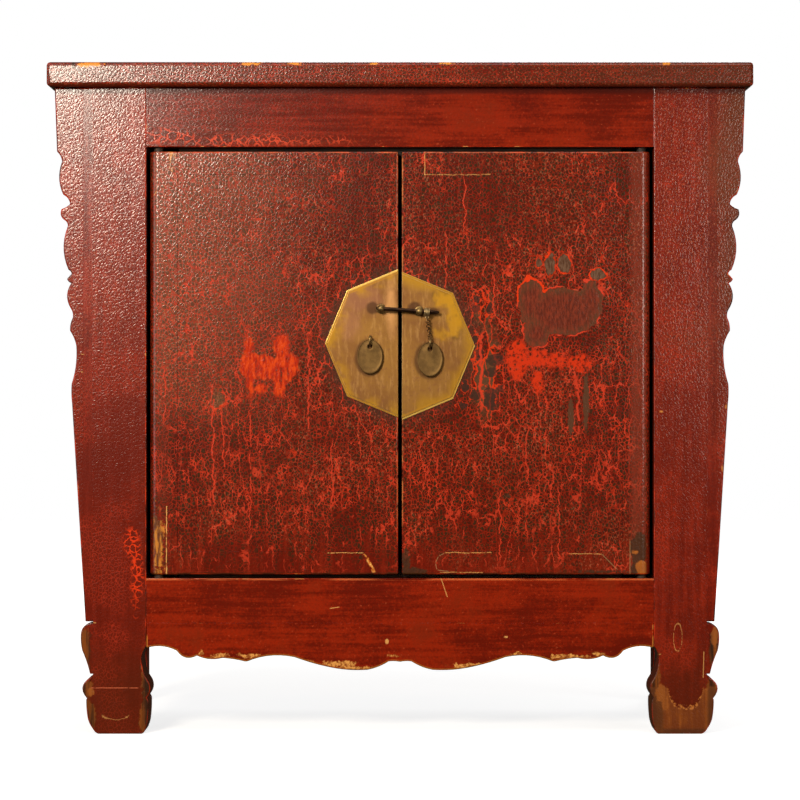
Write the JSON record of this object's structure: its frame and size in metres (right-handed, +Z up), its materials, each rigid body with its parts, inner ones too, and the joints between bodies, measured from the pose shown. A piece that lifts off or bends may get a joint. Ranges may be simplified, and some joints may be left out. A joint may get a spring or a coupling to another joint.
{
  "type": "lacquered sideboard",
  "caption": "Red crackle-lacquered two-door sideboard with mitred top, carved wings and apron, hoof feet, octagonal brass plate, oval pulls and a sliding lock pin on a chain.",
  "frame": {"origin": "centre of the object's footprint, on the floor", "axes": "+Z up, the doors face -Y, +X to the viewer's right, long side along X"},
  "size_m": [0.916, 0.46, 0.872],
  "materials": {
    "red_lacquer": "glossy aged crackle lacquer",
    "bare_wood": "unfinished, dry",
    "brass_plate": "satin, mottled patina",
    "aged_bronze": "dull olive patina"
  },
  "bodies": {
    "case": {"top_frame_front": "red_lacquer", "top_frame_back": "red_lacquer", "top_frame_left": "red_lacquer", "top_frame_right": "red_lacquer", "top_panel": "red_lacquer", "top_battens": "bare_wood", "front_leg_left": "red_lacquer", "front_leg_right": "red_lacquer", "rear_leg_left": "red_lacquer", "rear_leg_right": "red_lacquer", "wing_left": "red_lacquer", "wing_right": "red_lacquer", "leaf_left": "red_lacquer", "leaf_right": "red_lacquer", "front_top_rail": "red_lacquer", "front_bottom_rail": "red_lacquer", "front_apron": "red_lacquer", "side_top_rail_left": "red_lacquer", "side_top_rail_right": "red_lacquer", "side_bottom_rail_left": "red_lacquer", "side_bottom_rail_right": "red_lacquer", "side_panel_left": "red_lacquer", "side_panel_right": "red_lacquer", "side_apron_left": "red_lacquer", "side_apron_right": "red_lacquer", "back_top_rail": "bare_wood", "back_bottom_rail": "bare_wood", "back_muntin": "bare_wood", "back_panel_left": "bare_wood", "back_panel_right": "bare_wood", "floor_boards": "bare_wood", "floor_bearer": "bare_wood", "shelf_boards": "bare_wood", "shelf_bearer_left": "bare_wood", "shelf_bearer_right": "bare_wood", "door_stop_top": "bare_wood", "door_stop_bottom": "bare_wood"},
    "left_door": {"left_door_hinge_stile": "red_lacquer", "left_door_lock_stile": "red_lacquer", "left_door_top_rail": "red_lacquer", "left_door_bottom_rail": "red_lacquer", "left_door_panel": "red_lacquer", "left_door_battens": "bare_wood", "left_plate": "brass_plate", "left_eye_post": "aged_bronze", "left_pull_ring": "aged_bronze"},
    "right_door": {"right_door_hinge_stile": "red_lacquer", "right_door_lock_stile": "red_lacquer", "right_door_top_rail": "red_lacquer", "right_door_bottom_rail": "red_lacquer", "right_door_panel": "red_lacquer", "right_door_battens": "bare_wood", "right_plate": "brass_plate", "right_eye_post": "aged_bronze", "right_pull_ring": "aged_bronze"},
    "left_pull": {"left_pull": "aged_bronze"},
    "right_pull": {"right_pull": "aged_bronze"},
    "lock_pin": {"lock_pin": "aged_bronze"},
    "pin_chain": {"pin_bead": "aged_bronze", "pin_chain": "aged_bronze"}
  },
  "joints": [
    {"name": "left_door_swing", "type": "hinge", "parent": "case", "child": "left_door", "pos_m": [-0.3145, -0.202, 0.482], "axis": [0, 0, -1], "range_deg": [0, 100]},
    {"name": "right_door_swing", "type": "hinge", "parent": "case", "child": "right_door", "pos_m": [0.3145, -0.202, 0.482], "axis": [0, 0, 1], "range_deg": [0, 100]},
    {"name": "left_pull_lift", "type": "hinge", "parent": "left_door", "child": "left_pull", "pos_m": [-0.039, -0.2196, 0.5114], "axis": [-1, 0, 0], "range_deg": [0, 80]},
    {"name": "right_pull_lift", "type": "hinge", "parent": "right_door", "child": "right_pull", "pos_m": [0.039, -0.2196, 0.508], "axis": [-1, 0, 0], "range_deg": [0, 80]},
    {"name": "lock_pin_slide", "type": "slide", "parent": "right_door", "child": "lock_pin", "axis": [0.9977, 0, -0.0678], "range_m": [0, 0.035]},
    {"name": "pin_chain_swing", "type": "hinge", "parent": "right_door", "child": "pin_chain", "pos_m": [0.039, -0.2196, 0.5142], "axis": [0, 1, 0], "range_deg": [0, 5]}
  ],
  "couplings": [
    {"joint": "pin_chain_swing", "follows": "lock_pin_slide", "rad_per_m": 2.49}
  ]
}
